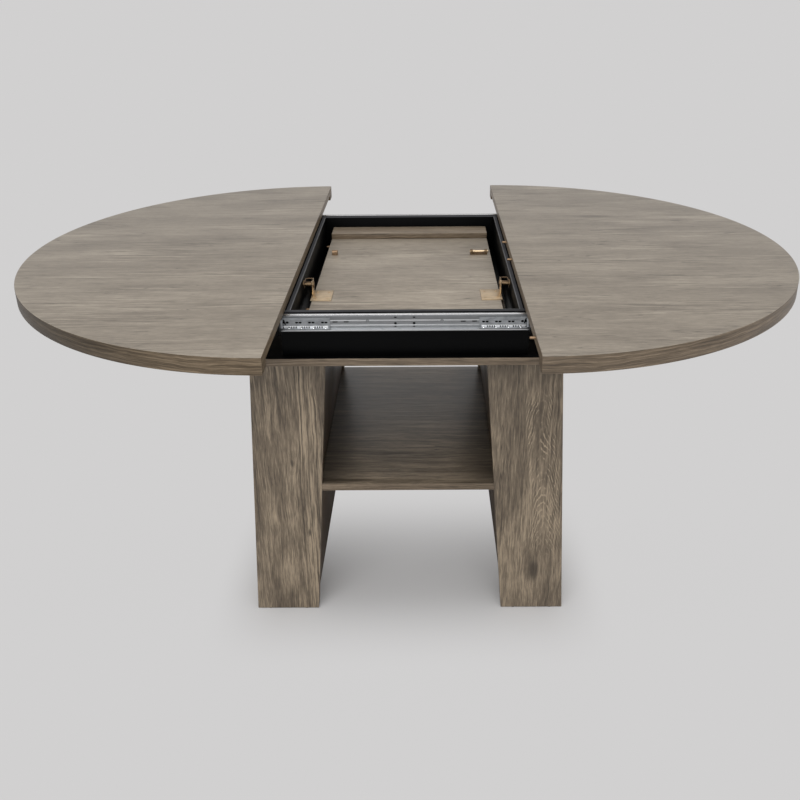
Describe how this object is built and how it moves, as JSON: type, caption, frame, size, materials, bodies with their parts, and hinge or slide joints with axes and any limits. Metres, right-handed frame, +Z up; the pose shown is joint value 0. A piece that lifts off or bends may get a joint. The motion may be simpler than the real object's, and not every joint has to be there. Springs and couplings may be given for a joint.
{
  "type": "extendable dining table",
  "caption": "Round pedestal dining table drawn open: half-round tops on ball slides, a folded leaf stored in a box between them, panel legs and a shelf.",
  "frame": {"origin": "on the floor under the middle of the table, half-way between the two half tops", "axes": "+X along the extension to the right half top, +Y to the back, +Z up"},
  "size_m": [1.6518, 1.2, 0.755],
  "materials": {
    "oak_panel": "satin lacquer on grey-brown oak, grain along X",
    "oak_edge": "satin, darker grey-brown oak edging",
    "oak_leg": "satin, grey-brown oak with upright grain",
    "black_board": "smooth black laminate",
    "brass": "brushed",
    "zinc": "bright zinc plating",
    "screw_steel": "zinc plating",
    "glide_plastic": "matte"
  },
  "bodies": {
    "base": {"box_front": "black_board", "box_back": "black_board", "box_left": "black_board", "box_right": "black_board", "base_plate": "oak_edge", "shelf": "oak_leg", "shelf_screws": "screw_steel", "floor_glides": "glide_plastic", "leg_left_front": "oak_leg", "leg_left_back": "oak_leg", "leg_left_outer": "oak_leg", "leg_left_inner": "oak_leg", "leg_right_front": "oak_leg", "leg_right_back": "oak_leg", "leg_right_outer": "oak_leg", "leg_right_inner": "oak_leg", "leg_blocks_left": "oak_edge", "leg_blocks_right": "oak_edge", "leaf_upper": "oak_panel", "leaf_lower": "oak_panel", "leaf_edge_upper": "oak_edge", "leaf_edge_lower": "oak_edge", "leaf_pins": "brass", "leaf_sockets": "brass", "leaf_hinges": "brass", "swing_bracket_left": "brass", "swing_bracket_right": "brass", "swing_pivot_left": "brass", "swing_pivot_right": "brass", "leaf_bolt_guide": "brass", "leaf_strike": "brass", "slide_channel_front": "zinc", "slide_channel_back": "zinc", "channel_screws_front": "screw_steel", "channel_screws_back": "screw_steel"},
    "half_left": {"top_left": "oak_panel", "edge_left": "oak_edge", "sockets_left": "brass", "top_rail_left_front": "oak_edge", "top_rail_left_back": "oak_edge", "rail_screws_left": "screw_steel", "runner_left_front": "zinc", "runner_left_back": "zinc", "top_bolt_guide": "brass"},
    "half_right": {"top_right": "oak_panel", "edge_right": "oak_edge", "pins_right": "brass", "top_rail_right_front": "oak_edge", "top_rail_right_back": "oak_edge", "rail_screws_right": "screw_steel", "runner_right_front": "zinc", "runner_right_back": "zinc", "top_strike": "brass"},
    "cages_left": {"ball_cage_left_front": "zinc", "ball_cage_left_back": "zinc"},
    "cages_right": {"ball_cage_right_front": "zinc", "ball_cage_right_back": "zinc"},
    "leaf_bolt": {"leaf_bolt": "brass"},
    "top_bolt": {"top_bolt": "brass"}
  },
  "joints": [
    {"name": "half_left_slide", "type": "slide", "parent": "base", "child": "half_left", "axis": [1, 0, 0], "range_m": [0, 0.2258]},
    {"name": "half_right_slide", "type": "slide", "parent": "base", "child": "half_right", "axis": [-1, 0, 0], "range_m": [0, 0.2258]},
    {"name": "cages_left_slide", "type": "slide", "parent": "base", "child": "cages_left", "axis": [1, 0, 0], "range_m": [0, 0.1129]},
    {"name": "cages_right_slide", "type": "slide", "parent": "base", "child": "cages_right", "axis": [-1, 0, 0], "range_m": [0, 0.1129]},
    {"name": "leaf_bolt_slide", "type": "slide", "parent": "base", "child": "leaf_bolt", "axis": [1, 0, 0], "range_m": [0, 0.022]},
    {"name": "top_bolt_slide", "type": "slide", "parent": "half_left", "child": "top_bolt", "axis": [1, 0, 0], "range_m": [0, 0.022]}
  ],
  "couplings": [
    {"joint": "cages_left_slide", "follows": "half_left_slide", "ratio": 0.5},
    {"joint": "cages_right_slide", "follows": "half_right_slide", "ratio": 0.5}
  ]
}
